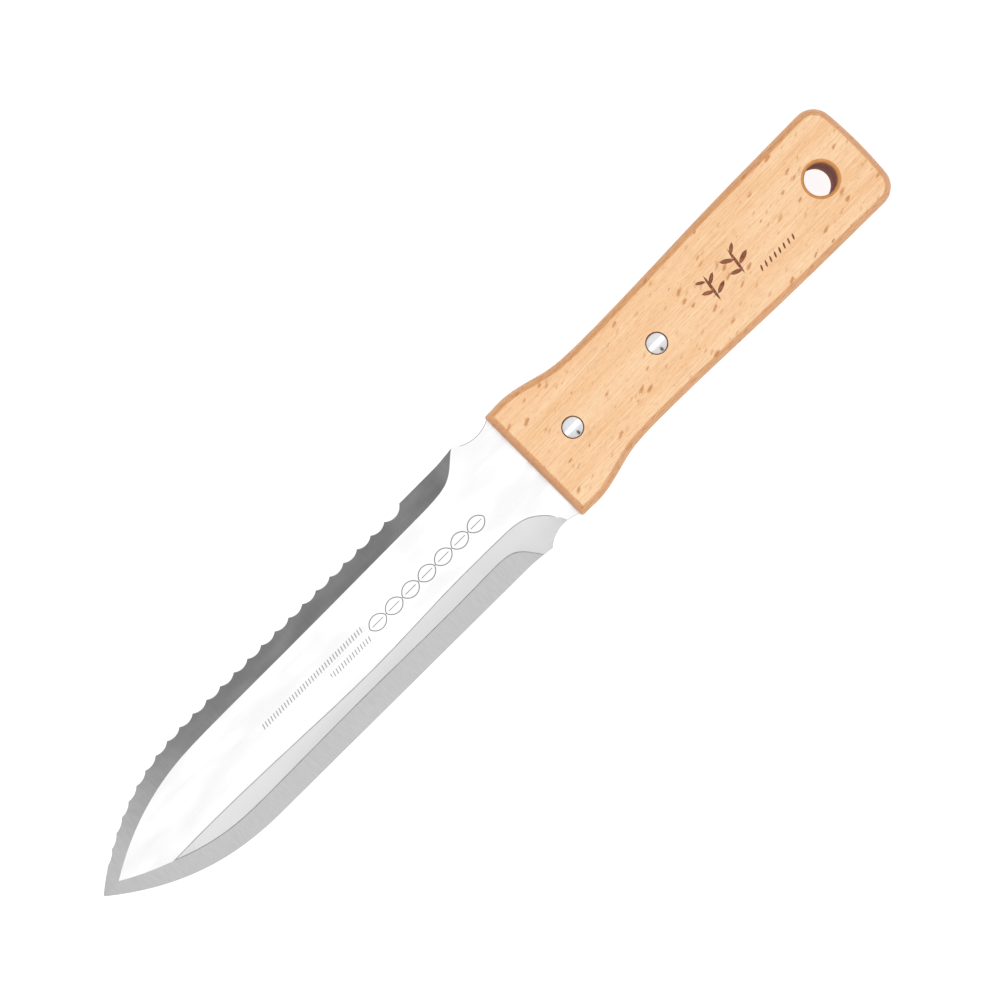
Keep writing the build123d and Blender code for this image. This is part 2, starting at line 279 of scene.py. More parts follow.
@dataclass(frozen=True)
class Finish:
    """A surface finish: a name, and the shader's own constants."""

    name: str
    metallic: float = 0.0
    specular: float = 0.5
    coat: float = 0.0
    coat_roughness: float = 0.1

    def make(self) -> Material:
        """Builds the material.

        Returns:
            The finished material.
        """
        material = bpy.data.materials.new(self.name)
        material.use_nodes = True
        sheet = ShaderSheet(material.node_tree)
        shader = sheet.node("BsdfPrincipled")
        shader.inputs["Metallic"].default_value = self.metallic
        shader.inputs["Specular IOR Level"].default_value = self.specular
        shader.inputs["Coat Weight"].default_value = self.coat
        shader.inputs["Coat Roughness"].default_value = self.coat_roughness
        output = sheet.node("OutputMaterial")
        sheet.feed(output.inputs["Surface"], shader.outputs["BSDF"])
        self.dress(sheet, shader)
        return material

    def dress(self, sheet: ShaderSheet, shader: Node) -> None:
        """Wires the finish's colour, roughness and relief.

        Args:
            sheet: the material's tree.
            shader: its Principled shader.
        """
        raise NotImplementedError


@dataclass(frozen=True)
class GroundSteel(Finish):
    """Stainless plate, satin on its flats and ground across on its bevels, with a pale etched ornament, and
    painted dark reflection on the rear of the serrated bevel.
    """

    metallic: float = 1.0
    colour: Colour = (0.80, 0.80, 0.81)
    etched: Colour = (0.28, 0.28, 0.30)
    painted_dark_reflection: Colour = (0.30, 0.30, 0.31)
    # Painted dark reflection: the colour for the rear of the serrated bevel.
    sheared: Colour = (0.42, 0.42, 0.43)
    dark_reflection_mm: Pair = (-8.0, 7.0)
    leaf_start_mm: float = -47.0
    leaf_pitch_mm: float = 7.0
    leaf_count: int = 7
    leaf_length_mm: float = 6.6
    leaf_width_mm: float = 4.6
    line_mm: float = 0.30
    tick_rows: tuple[tuple[float, float, float], ...] = ((-91.0, 43.0, 2.0), (-65.0, 17.0, -1.8))
    tick_height_mm: float = 1.7
    tick_pitch_mm: float = 1.15
    tick_lean: float = 0.30
    tick_mm: float = 0.34
    tick_strength: float = 0.75
    scored: Colour = (0.55, 0.56, 0.58)
    scored_most: float = 0.20
    satin_range: Pair = (0.16, 0.24)
    satin_grain: float = 0.06
    etched_rough: float = 0.25
    sheared_rough: float = 0.30
    dark_reflection_most: float = 0.9
    dark_reflection_side_mm: float = 5.0
    vein_short_mm: float = 1.2
    vein_fade_mm: float = 1.0

    def dress(self, sheet: ShaderSheet, shader: Node) -> None:
        """Wires the satin, the grinding lines, the etched leaves and the painted dark reflection on the
        serrated bevel's rear.
        """
        face = sheet.split(sheet.node("NewGeometry").outputs["Normal"])
        flat = sheet.ease(face[2], 0.985, 0.999)
        satin = sheet.grain(sheet.place((0.05, 6.0, 1.0)), 4.0)
        ground = sheet.grain(sheet.place((1.9, 0.22, 0.22)), 4.0, 0.75)
        cloud = sheet.grain(sheet.place((0.04, 0.12, 0.1), shift=(3.0, 1.0, 0.0)), 2.0)
        line = sheet.math("MAXIMUM", self.leaf_lines(sheet), self.seed_rows(sheet))
        line = sheet.times(line, sheet.math("GREATER_THAN", face[2], 0.9))
        satin_tone = sheet.ease(cloud, 0.3, 0.7, self.satin_range)
        roughness = sheet.plus(satin_tone, sheet.times(satin, self.satin_grain))
        roughness = sheet.plus(roughness, sheet.times(line, self.etched_rough))
        dimmer = tuple(part * 0.97 for part in self.colour)
        tone = sheet.blend(sheet.ease(cloud, 0.25, 0.75), dimmer, self.colour)
        lines = sheet.ease(ground, 0.40, 0.68, (0.0, self.scored_most))
        tone = sheet.blend(sheet.times(lines, sheet.minus(1.0, flat)), tone, self.scored)
        side = sheet.ease(face[2], 0.35, 0.60, (1.0, 0.0))
        back = sheet.math("LESS_THAN", face[2], -0.5)
        side = sheet.times(side, sheet.minus(1.0, back))
        tone = sheet.blend(side, tone, self.sheared)
        roughness = sheet.plus(roughness, sheet.times(side, self.sheared_rough))
        sheet.feed(shader.inputs["Roughness"], roughness)
        x, y, _ = sheet.split(sheet.place((1.0, 1.0, 1.0)))
        # Painted dark reflection: the serrated bevel turns dark towards the neck, standing in for the dark
        # tent that it reflects.
        serrated_side = sheet.math("GREATER_THAN", y, self.dark_reflection_side_mm)
        painted_dark_reflection = sheet.times(sheet.ease(x, *self.dark_reflection_mm), serrated_side)
        painted_dark_reflection = sheet.times(painted_dark_reflection, sheet.minus(1.0, flat))
        tone = sheet.blend(sheet.times(painted_dark_reflection, self.dark_reflection_most), tone, self.painted_dark_reflection)
        across = sheet.bump(ground, 0.006, 0.2)
        along = sheet.bump(satin, 0.002, 0.15)
        chosen = sheet.node("Mix", data_type="VECTOR")
        sheet.feed(chosen.inputs["Factor"], flat)
        sheet.feed(chosen.inputs[4], across)
        sheet.feed(chosen.inputs[5], along)
        sheet.feed(shader.inputs["Normal"], chosen.outputs[1])
        sheet.feed(shader.inputs["Base Color"], sheet.blend(line, tone, self.etched))

    def leaf_lines(self, sheet: ShaderSheet) -> Socket:
        """A row of outlined leaves along the middle of the plate.

        Args:
            sheet: the material's tree.

        Returns:
            The lines' mask.
        """
        x, y, _ = sheet.split(sheet.place((1.0, 1.0, 1.0)))
        from_start = sheet.minus(x, self.leaf_start_mm)
        in_leaf = sheet.math("MODULO", from_start, self.leaf_pitch_mm)
        along = sheet.minus(in_leaf, self.leaf_pitch_mm / 2)
        half_length, half_width = self.leaf_length_mm / 2, self.leaf_width_mm / 2
        radius = (half_length ** 2 + half_width ** 2) / (2 * half_width)
        aside = sheet.size_of(y)
        lowered = sheet.plus(aside, radius - half_width)
        reach = sheet.plus(sheet.math("POWER", along, 2.0), sheet.math("POWER", lowered, 2.0))
        outline = sheet.size_of(sheet.minus(sheet.math("SQRT", reach), radius))
        drawn = sheet.ease(outline, self.line_mm * 0.35, self.line_mm * 0.65, (1.0, 0.0))
        vein = sheet.ease(aside, self.line_mm * 0.25, self.line_mm * 0.5, (1.0, 0.0))
        fades = (half_length - self.vein_short_mm, half_length - self.vein_fade_mm)
        vein = sheet.times(vein, sheet.ease(sheet.size_of(along), *fades, (1.0, 0.0)))
        drawn = sheet.math("MAXIMUM", drawn, vein)
        row = self.within(sheet, x, self.leaf_start_mm, self.leaf_pitch_mm * self.leaf_count)
        return sheet.times(drawn, row)

    def seed_rows(self, sheet: ShaderSheet) -> Socket:
        """Two fine rows of short slanted ticks ahead of the leaves.

        Args:
            sheet: the material's tree.

        Returns:
            The ticks' mask.
        """
        x, y, _ = sheet.split(sheet.place((1.0, 1.0, 1.0)))
        leaned = sheet.minus(x, sheet.times(y, self.tick_lean))
        near = sheet.math("PINGPONG", leaned, self.tick_pitch_mm / 2)
        tick = sheet.ease(near, self.tick_mm * 0.35, self.tick_mm * 0.65, (1.0, 0.0))
        rows = None
        for start, length, level in self.tick_rows:
            aside = sheet.size_of(sheet.minus(y, level))
            row = sheet.math("LESS_THAN", aside, self.tick_height_mm / 2)
            row = sheet.times(row, self.within(sheet, x, start, length))
            rows = row if rows is None else sheet.math("MAXIMUM", rows, row)
        return sheet.times(sheet.times(tick, rows), self.tick_strength)

    def within(self, sheet: ShaderSheet, x: Socket, start: float, length: float) -> Socket:
        """Whether a place lies on a stretch of the plate, in millimetres along X."""
        begun = sheet.math("GREATER_THAN", x, start)
        return sheet.times(begun, sheet.math("LESS_THAN", x, start + length))


@dataclass(frozen=True)
class RidgeShadeLine(Finish):
    """A dull, dark painted shade line on the narrow strip where two grinds meet, standing in for the shaded
    wall of the small step there.
    """

    metallic: float = 1.0
    # Painted shade: a dark grey for the ridge strip.
    colour: Colour = (0.36, 0.35, 0.36)

    def dress(self, sheet: ShaderSheet, shader: Node) -> None:
        """Wires the uneven painted shade line."""
        breaks = sheet.grain(sheet.place((0.5, 0.5, 0.5)), 3.0)
        pale = tuple(part * 1.35 for part in self.colour)
        tone = sheet.blend(sheet.ease(breaks, 0.35, 0.65), self.colour, pale)
        rough = sheet.ease(breaks, 0.3, 0.7, (0.35, 0.45))
        sheet.paint(shader, tone, rough, sheet.bump(breaks, 0.004, 0.3))


@dataclass(frozen=True)
class Beech(Finish):
    """Clear-lacquered beech: fine lengthwise grain, short slanted flecks, and painted shade on the
    rounded-over edges, in a deeper orange.
    """

    coat: float = 0.2
    coat_roughness: float = 0.2
    pale: Colour = (0.87, 0.58, 0.335)
    warm: Colour = (0.82, 0.49, 0.245)
    light: Colour = (0.95, 0.72, 0.47)
    fleck: Colour = (0.55, 0.225, 0.07)
    # Deeper orange for the dark threads, and for the painted shade on the rounded-over edges.
    edge: Colour = (0.60, 0.255, 0.095)
    # Dark fibre colour, laid on more thickly on the rounded edges as part of their painted shade.
    fibre_and_edge_shade: Colour = (0.47, 0.18, 0.06)
    end_grain: Colour = (0.60, 0.27, 0.15)
    edge_shade: float = 0.60
    fibre_shown: float = 0.32
    edge_fibre_and_shade: float = 0.50

    def dress(self, sheet: ShaderSheet, shader: Node) -> None:
        """Wires the grain, the flecks, the painted shade on the rounded-over edges and the open pores."""
        face = sheet.split(sheet.node("NewGeometry").outputs["Normal"])
        level = sheet.size_of(face[2])
        bands = sheet.grain(sheet.place((0.012, 0.22, 0.22)), 2.0)
        threads = sheet.grain(sheet.place((0.06, 2.0, 2.0), 1.5), 4.0, 0.68)
        fibres = sheet.grain(sheet.place((0.35, 3.4, 3.4), 1.5), 3.0, 0.7)
        tone = sheet.blend(sheet.ease(bands, 0.3, 0.7), self.pale, self.warm)
        tone = sheet.blend(sheet.ease(threads, 0.5, 0.72, (0.0, 0.42)), tone, self.edge)
        tone = sheet.blend(sheet.ease(threads, 0.28, 0.48, (0.60, 0.0)), tone, self.light)
        rounded = sheet.ease(level, 0.93, 0.985, (1.0, 0.0))
        # Painted shade: the rounded-over band, tilted away from the overhead light, is coloured a deeper
        # orange.
        tone = sheet.blend(sheet.times(rounded, self.edge_shade), tone, self.edge)
        # Fibres show more on the rounded band, which also deepens its painted shade.
        shown = sheet.plus(self.fibre_shown, sheet.times(rounded, self.edge_fibre_and_shade))
        tone = sheet.blend(sheet.times(sheet.ease(fibres, 0.46, 0.70), shown), tone, self.fibre_and_edge_shade)
        spots = self.all_flecks(sheet)
        tone = sheet.blend(spots, tone, self.fleck)
        end_on = sheet.ease(sheet.size_of(face[0]), 0.35, 0.9, (0.0, 0.40))
        tone = sheet.blend(end_on, tone, self.end_grain)
        sheet.feed(shader.inputs["Base Color"], tone)
        sheet.feed(shader.inputs["Roughness"], sheet.ease(threads, 0.3, 0.7, (0.36, 0.50)))
        relief = sheet.bump(fibres, 0.03, 0.35, sheet.bump(threads, 0.03, 0.35))
        sheet.feed(shader.inputs["Normal"], sheet.bump(spots, -0.02, 0.4, relief))

    def all_flecks(self, sheet: ShaderSheet) -> Socket:
        """Bold flecks, fainter ones between them, and fine specks."""
        bold = self.flecks(sheet, (0.17, 0.44, 0.44), 20.0, 0.21, 0.40, 0.95)
        faint = self.flecks(sheet, (0.23, 0.60, 0.60), 24.0, 0.20, 0.30, 0.48)
        specks = self.flecks(sheet, (0.42, 1.1, 1.1), 12.0, 0.16, 0.50, 0.42)
        return sheet.math("MAXIMUM", bold, sheet.math("MAXIMUM", faint, specks))

    def flecks(
        self,
        sheet: ShaderSheet,
        stretch: Sequence[float],
        turn_deg: float,
        size: float,
        rare: float,
        depth: float,
    ) -> Socket:
        """Scattered spindle-shaped flecks with ragged edges.

        Args:
            sheet: the material's tree.
            stretch: pattern units in a millimetre, so that a cell is as long and wide as a fleck's share.
            turn_deg: the flecks' slant to the grain.
            size: a fleck's half size, in pattern units.
            rare: the share of the cells that stay plain.
            depth: how strong the flecks' colour is.

        Returns:
            The flecks' mask.
        """
        cells = sheet.node("TexVoronoi", feature="F1")
        sheet.feed(cells.inputs["Vector"], sheet.place(stretch, turn_deg))
        sheet.feed(cells.inputs["Scale"], 1.0)
        chance = sheet.split(cells.outputs["Color"])
        shown = sheet.ease(chance[0], rare, rare + 0.15, (0.0, depth))
        spread = sheet.ease(chance[1], 0.0, 1.0, (size * 0.6, size * 1.5))
        near = sheet.math("DIVIDE", cells.outputs["Distance"], spread)
        ragged = sheet.grain(sheet.place([part * 3.0 for part in stretch], turn_deg), 3.0, 0.7)
        near = sheet.plus(near, sheet.ease(ragged, 0.25, 0.75, (-0.35, 0.35)))
        return sheet.times(sheet.ease(near, 0.40, 1.05, (1.0, 0.0)), shown)


@dataclass(frozen=True)
class BoreShadeWood(Finish):
    """Bare beech in the bores, with painted shade: a deeper orange on the rounded rims, and dark brown on the
    walls for the shade in the bores and in the gaps round the rivet heads.
    """

    specular: float = 0.04
    rim: Colour = (0.66, 0.30, 0.095)
    wall_shade: Colour = (0.44, 0.21, 0.175)

    def dress(self, sheet: ShaderSheet, shader: Node) -> None:
        """Wires the two painted shade tones, the drill's rings and the dry surface."""
        face = sheet.split(sheet.node("NewGeometry").outputs["Normal"])
        rings = sheet.grain(sheet.place((0.6, 0.6, 4.0)), 3.0, 0.6)
        # Painted shade: steep walls take the dark brown, and the rims take the deeper orange.
        tone = sheet.blend(sheet.ease(sheet.size_of(face[2]), 0.05, 0.40), self.wall_shade, self.rim)
        dark = tuple(part * 0.7 for part in self.wall_shade)
        tone = sheet.blend(sheet.ease(rings, 0.45, 0.75, (0.0, 0.4)), tone, dark)
        rough = sheet.ease(rings, 0.3, 0.7, (0.70, 0.90))
        sheet.paint(shader, tone, rough, sheet.bump(rings, 0.03, 0.4))


@dataclass(frozen=True)
class BurntMark(Finish):
    """Wood browned by a hot branding iron."""

    specular: float = 0.2
    core: Colour = (0.19, 0.062, 0.034)
    singed: Colour = (0.36, 0.13, 0.07)

    def dress(self, sheet: ShaderSheet, shader: Node) -> None:
        """Wires the uneven browning and its matt surface."""
        patches = sheet.grain(sheet.place((0.5, 1.6, 1.6)), 4.0)
        browned = sheet.blend(sheet.ease(patches, 0.35, 0.65), self.core, self.singed)
        rough = sheet.ease(patches, 0.3, 0.7, (0.55, 0.75))
        sheet.paint(shader, browned, rough, sheet.bump(patches, 0.05, 0.5))


@dataclass(frozen=True)
class PolishedRivet(Finish):
    """Bright polished stainless steel with faint turning rings."""

    metallic: float = 1.0
    colour: Colour = (0.86, 0.86, 0.88)

    def dress(self, sheet: ShaderSheet, shader: Node) -> None:
        """Wires the polish and its faint marks."""
        marks = sheet.grain(sheet.place((3.0, 3.0, 3.0)), 5.0, 0.7)
        duller = tuple(part * 0.93 for part in self.colour)
        tone = sheet.blend(sheet.ease(marks, 0.3, 0.7), duller, self.colour)
        rough = sheet.ease(marks, 0.3, 0.7, (0.08, 0.15))
        sheet.paint(shader, tone, rough, sheet.bump(marks, 0.003, 0.2))


@dataclass(frozen=True)
class PaleFloor(Finish):
    """The plain pale sweep that the knife lies on."""

    specular: float = 0.1
    dim: Colour = (0.36, 0.36, 0.36)
    bright: Colour = (0.38, 0.38, 0.38)
    glow: float = 0.85

    def dress(self, sheet: ShaderSheet, shader: Node) -> None:
        """Wires a nearly even white."""
        mottle = sheet.grain(sheet.place((0.01, 0.01, 0.01)), 2.0)
        sheet.feed(shader.inputs["Base Color"], sheet.blend(mottle, self.dim, self.bright))
        sheet.feed(shader.inputs["Roughness"], sheet.ease(mottle, 0.0, 1.0, (0.75, 0.85)))
        shader.inputs["Emission Color"].default_value = (1.0, 1.0, 1.0, 1.0)
        shader.inputs["Emission Strength"].default_value = self.glow


def repaint(piece: Piece, *materials: Material) -> None:
    """Gives a piece its materials, in slot order, and keeps its faces' slots.

    Args:
        piece: the mesh object.
        *materials: its materials.
    """
    kept = len(piece.material_slots)
    for index, material in enumerate(materials):
        if index < kept:
            piece.material_slots[index].material = material
        else:
            piece.data.materials.append(material)


# --- Stage ---


@dataclass
class Studio:
    """The pale floor, the soft light tent and the camera, straight above the knife."""

    floor_size: float = 60.0
    floor_gap: float = 0.1 * MM
    light_size: float = 1.6
    light_height: float = 1.3
    light_power: float = 10.8
    light_place: Pair = (-0.05, 0.30)
    smooth_wall: Pair = (0.73, 0.93)
    serrated_wall: Pair = (1.0, 0.19)
    point_wall: float = 0.70
    horizon: float = 0.35
    screen_place: Pair = (0.06, -0.34)
    screen_reach: Pair = (0.065, 0.12)
    screen_tone: float = 0.05
    overhead_glow: float = 0.65
    camera_height: float = 0.9
    view_width: float = 0.303
    aim_from_point: float = 0.16977
    roll_deg: float = -45.0

    def build(self) -> None:
        """Makes the whole stage."""
        self.floor()
        self.tent()
        self.lamp()
        self.camera()

    def floor(self) -> None:
        """Lays the floor under the lowest point of the knife."""
        place = (0, 0, CAD_BOX[0].z - self.floor_gap)
        bpy.ops.mesh.primitive_plane_add(size=self.floor_size, location=place)
        sweep = bpy.context.object
        sweep.name = "floor"
        repaint(sweep, PaleFloor("pale_floor").make())

    def tent(self) -> None:
        """Lights the knife from a white tent, brightest overhead, with a small dark screen for the rivets."""
        world = bpy.data.worlds.new("tent")
        bpy.context.scene.world = world
        world.use_nodes = True
        sheet = ShaderSheet(world.node_tree)
        x, y, z = sheet.split(sheet.node("TexCoord").outputs["Generated"])
        smooth_side = sheet.ease(y, -0.60, -0.10, self.smooth_wall)
        serrated_side = sheet.ease(y, 0.34, 0.62, self.serrated_wall)
        walls = sheet.times(smooth_side, serrated_side)
        point_end = sheet.ease(x, -0.60, -0.02, (1.0, 0.0))
        change = sheet.minus(self.point_wall, walls)
        walls = sheet.plus(walls, sheet.times(point_end, change))
        walls = sheet.times(walls, sheet.ease(z, 0.0, 0.40, (self.horizon, 1.0)))
        away = []
        for part, middle, reach in zip((x, y), self.screen_place, self.screen_reach):
            away.append(sheet.math("POWER", sheet.math("DIVIDE", sheet.minus(part, middle), reach), 2.0))
        screen = sheet.ease(sheet.plus(*away), 0.6, 1.4, (self.screen_tone, 1.0))
        walls = sheet.times(walls, screen)
        overhead = sheet.ease(sheet.size_of(y), 0.02, 0.15, (1.0, 0.0))
        overhead = sheet.times(overhead, sheet.ease(z, 0.80, 0.92))
        strength = sheet.plus(walls, sheet.times(overhead, self.overhead_glow))
        glow = sheet.node("Background")
        sheet.feed(glow.inputs["Strength"], strength)
        glow.inputs["Color"].default_value = (1.0, 0.995, 0.99, 1.0)
        output = sheet.node("OutputWorld")
        sheet.feed(output.inputs["Surface"], glow.outputs["Background"])

    def lamp(self) -> None:
        """Hangs a large soft lamp overhead, which shows in no reflection."""
        bpy.ops.object.light_add(type="AREA", location=(*self.light_place, self.light_height))
        lamp = bpy.context.object
        lamp.name = "soft_lamp"
        lamp.data.size = self.light_size
        lamp.data.energy = self.light_power
        lamp.visible_glossy = False

    def camera(self) -> None:
        """Hangs the camera over the knife, rolled so that the knife lies corner to corner."""
        low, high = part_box("blade")
        plane = (low.z + high.z) / 2
        data = bpy.data.cameras.new("camera")
        data.sensor_width = 36.0
        data.lens = data.sensor_width * self.camera_height / self.view_width
        camera = bpy.data.objects.new("camera", data)
        camera.location = (low.x + self.aim_from_point, 0.0, plane + self.camera_height)
        camera.rotation_euler = (0.0, 0.0, math.radians(self.roll_deg))
        bpy.context.scene.collection.objects.link(camera)
        bpy.context.scene.camera = camera
        bpy.context.scene.view_settings.view_transform = "Standard"


# --- Bench work: selecting, cutting and finishing meshes ---


def clear_selection() -> None:
    """Leaves nothing selected, so that the next operator acts on the new piece alone."""
    for other in bpy.context.selected_objects:
        other.select_set(False)


def take(piece: Piece) -> Piece:
    """Makes a piece the only selected and active one, and returns it."""
    clear_selection()
    piece.select_set(True)
    bpy.context.view_layer.objects.active = piece
    return piece


def settle(name: str) -> Piece:
    """Names the active primitive and puts its place and size into its mesh.

    Args:
        name: the piece's name.

    Returns:
        The piece.
    """
    piece = take(bpy.context.object)
    piece.name = piece.data.name = name
    bpy.ops.object.transform_apply(location=True, rotation=True, scale=True)
    return piece


def block(name: str, low: Vector, high: Vector) -> Piece:
    """Starts a piece from a cube between two corners.

    Args:
        name: the piece's name.
        low: its lowest corner.
        high: its highest corner.

    Returns:
        The piece.
    """
    clear_selection()
    bpy.ops.mesh.primitive_cube_add(size=1.0, location=(low + high) / 2, scale=high - low)
    return settle(name)


def rod(
    name: str, centre: Vector, radius: float, low: float, high: float, sides: int = 96
) -> Piece:
    """Starts a piece from an upright cylinder.

    Args:
        name: the piece's name.
        centre: a point on its axis.
        radius: its radius.
        low: the height of its lower end.
        high: the height of its upper end.
        sides: how many sides it has.

    Returns:
        The piece.
    """
    clear_selection()
    place = (centre.x, centre.y, (low + high) / 2)
    bpy.ops.mesh.primitive_cylinder_add(vertices=sides, radius=radius, depth=high - low, location=place)
    return settle(name)


class EditBench:
    """Edit mode on one piece, with selection by place."""

    def __init__(self, piece: Piece) -> None:
        """Keeps the piece to work on."""
        self.piece = piece

    def __enter__(self) -> "EditBench":
        """Opens edit mode with nothing selected."""
        take(self.piece)
        bpy.ops.object.mode_set(mode="EDIT")
        bpy.ops.mesh.select_mode(type="VERT")
        bpy.ops.mesh.select_all(action="DESELECT")
        return self

    def __exit__(self, *_: object) -> None:
        """Closes edit mode."""
        bpy.ops.object.mode_set(mode="OBJECT")

    def pick(self, kind: str, test: Callable[[object], bool]) -> int:
        """Selects the vertices, edges or faces that pass a test, and nothing else.

        Args:
            kind: VERT, EDGE or FACE.
            test: says whether one of them is wanted.

        Returns:
            How many were selected.
        """
        bpy.ops.mesh.select_mode(type=kind)
        bpy.ops.mesh.select_all(action="DESELECT")
        sheet = bmesh.from_edit_mesh(self.piece.data)
        sheet.normal_update()
        parts = {"VERT": sheet.verts, "EDGE": sheet.edges, "FACE": sheet.faces}[kind]
        wanted = [part for part in parts if test(part)]
        for part in wanted:
            part.select_set(True)
        sheet.select_flush_mode()
        bmesh.update_edit_mesh(self.piece.data)
        return len(wanted)

    def slice(self, place: Vector, across: Vector) -> None:
        """Cuts the whole mesh through a point, square to a direction, and keeps both sides."""
        bpy.ops.mesh.select_all(action="SELECT")
        bpy.ops.mesh.bisect(plane_co=place, plane_no=across)

    def soften(self, width: float, segments: int, profile: float = 0.5) -> None:
        """Bevels the selected edges. A profile of 0.5 is round, and less is flatter."""
        shape = {"offset": width, "segments": segments, "profile": profile}
        bpy.ops.mesh.bevel(**shape, affect="EDGES", clamp_overlap=False)


def lies_level(face: bmesh.types.BMFace, height: float) -> bool:
    """Whether a face is level and lies at a height."""
    return abs(face.normal.z) > 0.9 and abs(face.calc_center_median().z - height) < NEAR


def draw_out(rise: float) -> None:
    """Extrudes the selected faces straight up, or down for a negative rise."""
    bpy.ops.mesh.extrude_region_move(TRANSFORM_OT_translate={"value": (0, 0, rise)})


def widen(scale: float, centre: Sequence[float]) -> None:
    """Scales the selection in plan about a point."""
    bpy.ops.transform.resize(value=(scale, scale, 1.0), center_override=centre)


def apply_modifier(piece: Piece, kind: str, **settings: object) -> None:
    """Adds a modifier and applies it at once.

    Args:
        piece: the mesh object.
        kind: the modifier's type.
        **settings: its properties.
    """
    take(piece)
    bpy.ops.object.modifier_add(type=kind)
    modifier = piece.modifiers[-1]
    for name, value in settings.items():
        setattr(modifier, name, value)
    bpy.ops.object.modifier_apply(modifier=modifier.name)


def carve(piece: Piece, tool: Piece, slot: int = 0) -> None:
    """Cuts a tool's shape out of a piece, and throws the tool away.

    Args:
        piece: what is cut.
        tool: the shape to remove.
        slot: the piece's material slot for the cut faces.
    """
    for face in tool.data.polygons:
        face.material_index = slot
    apply_modifier(piece, "BOOLEAN", operation="DIFFERENCE", solver="EXACT", object=tool)
    bpy.data.objects.remove(tool, do_unlink=True)


def polish_shading(piece: Piece, angle_deg: float = 28.0) -> None:
    """Shades a piece smooth up to an angle, with its large faces kept flat.

    Args:
        piece: the mesh object.
        angle_deg: the sharpest bend that stays smooth.
    """
    take(piece)
    bpy.ops.object.shade_smooth_by_angle(angle=math.radians(angle_deg))
    apply_modifier(piece, "WEIGHTED_NORMAL", keep_sharp=True, weight=100)


def stand_in(piece: Piece, slot: Slot, *nodes: str) -> None:
    """Puts a finished piece in the place of its CAD nodes, riding on the one rigid body.

    Args:
        piece: the finished piece.
        slot: its material slot in the record; not used.
        *nodes: the nodes that it stands for.
    """
    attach(piece, BODY)
    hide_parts(*nodes)
    log.info("%s: %d faces, for %s", piece.name, len(piece.data.polygons), ", ".join(nodes))


# --- Blade ---


class Ground(Enum):
    """How a face of the blade was made, by how steeply it lies."""

    FLAT = 0
    INNER_GRIND = 1
    BEVEL = 2
    WALL = 3

    @classmethod
    def of(cls, face: bmesh.types.BMFace) -> "Ground":
        """Tells how a face was made from its normal."""
        rise = abs(face.normal.z)
        for kind, least in ((cls.FLAT, 0.9995), (cls.INNER_GRIND, 0.9903), (cls.BEVEL, 0.5)):
            if rise > least:
                return kind
        return cls.WALL


@dataclass
class BladePlate:
    """The blade and its tang in one plate, with softened ridges where its grinds and sides meet, and painted
    shade lines on the grind ridges.
    """

    finish: Material
    # The painted shade line's material, for the ridge strips.
    ridge: Material
    weld: float = 0.002 * MM
    ridge_width: float = 0.15 * MM
    side_width: float = 0.16 * MM
    neck_length: float = 13.0 * MM
    ridge_ends_y: float = -15.5 * MM
    smooth_deg: float = 9.0

    def build(self) -> Piece:
        """Copies the blade's node, welds it, softens its ridges and dresses it.

        Returns:
            The finished blade.
        """
        node = frame["nodes"]["blade"]
        plate = bpy.data.objects.new("ground_blade", node.data.copy())
        bpy.context.scene.collection.objects.link(plate)
        plate.data.name = plate.name
        repaint(plate, self.finish, self.ridge)
        take(plate)
        bpy.ops.mesh.customdata_custom_splitnormals_clear()
        with EditBench(plate) as bench:
            bpy.ops.mesh.select_all(action="SELECT")
            bpy.ops.mesh.remove_doubles(threshold=self.weld)
            bpy.ops.mesh.select_all(action="SELECT")
            bpy.ops.mesh.dissolve_limited(angle_limit=math.radians(0.05))
            neck_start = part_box("handle")[0].x - self.neck_length
            bench.pick("EDGE", lambda e: self.is_ridge(e, neck_start))
            # The ridge strips take the painted shade line's material in slot 1.
            strip = {"offset": self.ridge_width, "segments": 1, "material": 1}
            bpy.ops.mesh.bevel(**strip, affect="EDGES", clamp_overlap=True)
            bench.pick("EDGE", lambda e: e.verts[0].co.x > neck_start and self.is_flat_side(e))
            bpy.ops.mesh.bevel(offset=self.side_width, segments=2, affect="EDGES", clamp_overlap=True)
        polish_shading(plate, self.smooth_deg)
        stand_in(plate, Slot.BLADE, "blade")
        return plate

    def is_ridge(self, edge: Edge, neck_start: float) -> bool:
        """Whether an edge parts the inner grind from the flat, or ahead of the neck from the bevel."""
        kinds = {Ground.of(face) for face in edge.link_faces}
        if kinds == {Ground.FLAT, Ground.INNER_GRIND}:
            return all(v.co.y > self.ridge_ends_y for v in edge.verts)
        return kinds == {Ground.INNER_GRIND, Ground.BEVEL} and all(v.co.x < neck_start for v in edge.verts)

    def is_flat_side(self, edge: Edge) -> bool:
        """Whether an edge parts a flat from a side wall."""
        return {Ground.of(face) for face in edge.link_faces} == {Ground.FLAT, Ground.WALL}


# --- Handle ---


